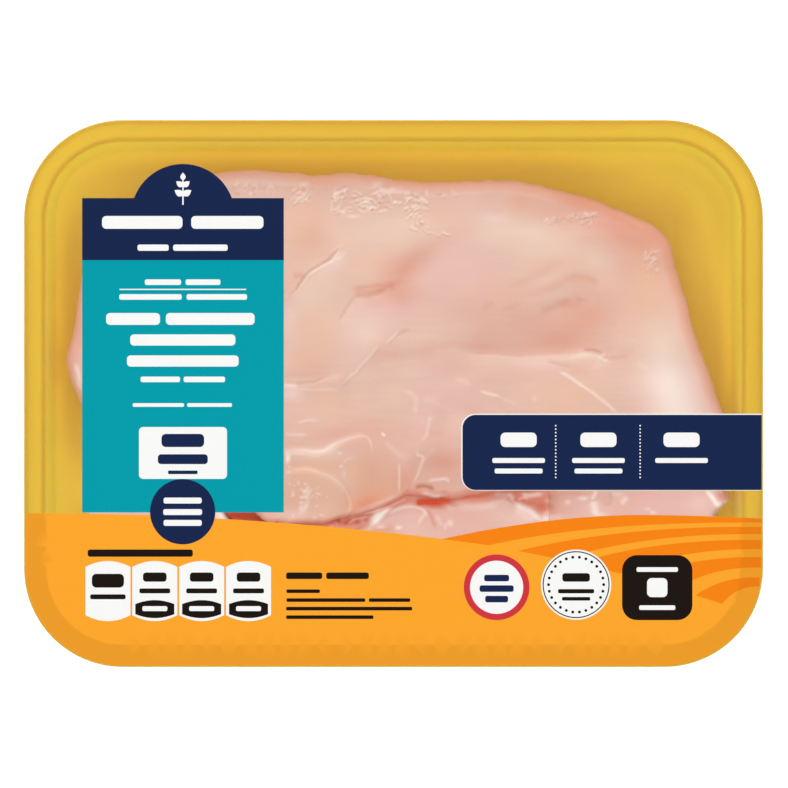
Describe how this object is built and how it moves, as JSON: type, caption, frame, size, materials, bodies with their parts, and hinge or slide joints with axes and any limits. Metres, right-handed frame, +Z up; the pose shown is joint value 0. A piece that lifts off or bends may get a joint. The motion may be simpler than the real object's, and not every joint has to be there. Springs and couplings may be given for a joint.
{
  "type": "tray pack of raw chicken breast",
  "caption": "Sealed tray pack of raw boneless chicken breast: a rounded yellow plastic tray, meat inside, clear film across the rim with plain printed fields of colour",
  "frame": {"origin": "on the ground under the middle of the tray", "axes": "+X along the tray's long side, towards the printed banner; +Y across the tray, away from the printed band; +Z up, out through the film"},
  "size_m": [0.225, 0.1666, 0.0328],
  "materials": {
    "tray": "thermoformed yellow plastic tray with a soft satin shine",
    "raw_chicken": "wet raw breast meat, pale pink with a translucent moist surface, thin membrane, fine grain and thin white fat lines",
    "clear_film": "clear glossy lidding film stretched flat",
    "orange_ink": "orange ink printed on the film, with a glossy top",
    "teal_ink": "blue-green ink printed on the film, with a glossy top",
    "navy_ink": "dark navy ink printed on the film, with a glossy top",
    "white_ink": "white ink printed on the film, with a glossy top",
    "red_ink": "red ink printed on the film, with a glossy top",
    "dark_ink": "near-black ink printed on the film, with a glossy top"
  },
  "bodies": {
    "root": {"tray": "tray", "breast_top": "raw_chicken", "breast_middle": "raw_chicken", "breast_right": "raw_chicken", "breast_left": "raw_chicken", "film": "clear_film", "print_band": "orange_ink", "print_header": "navy_ink", "print_panel": "teal_ink", "print_banner": "navy_ink", "print_box": "white_ink", "print_badge": "navy_ink", "print_tag_1": "white_ink", "print_tag_2": "white_ink", "print_tag_3": "white_ink", "print_tag_4": "white_ink", "print_disc_red": "red_ink", "print_disc_white": "white_ink", "print_plaque": "dark_ink"}
  },
  "joints": []
}
